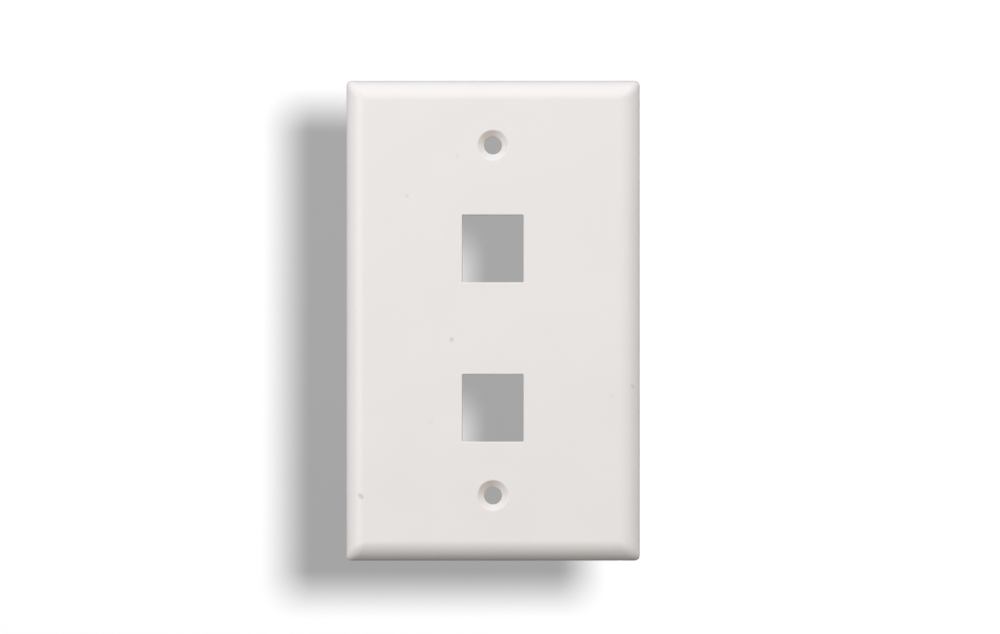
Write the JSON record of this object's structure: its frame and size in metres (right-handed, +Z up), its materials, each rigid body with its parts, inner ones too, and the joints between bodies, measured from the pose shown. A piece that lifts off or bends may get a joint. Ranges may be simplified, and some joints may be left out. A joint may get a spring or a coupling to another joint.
{
  "type": "keystone wall plate",
  "caption": "Single-gang moulded wall plate with rolled edges, countersunk screw holes and snap-in keystone jack openings.",
  "frame": {"origin": "centre of the wall plane, which the rim and the screw bosses touch, midway between the screw holes", "axes": "+Z up as the plate is fitted, +X to the right of someone who faces the wall, +Y into the wall; the front face looks along -Y"},
  "size_m": [0.0698, 0.01, 0.1142],
  "materials": {
    "white_plastic": "satin"
  },
  "bodies": {
    "root": {"faceplate": "white_plastic"}
  },
  "joints": []
}
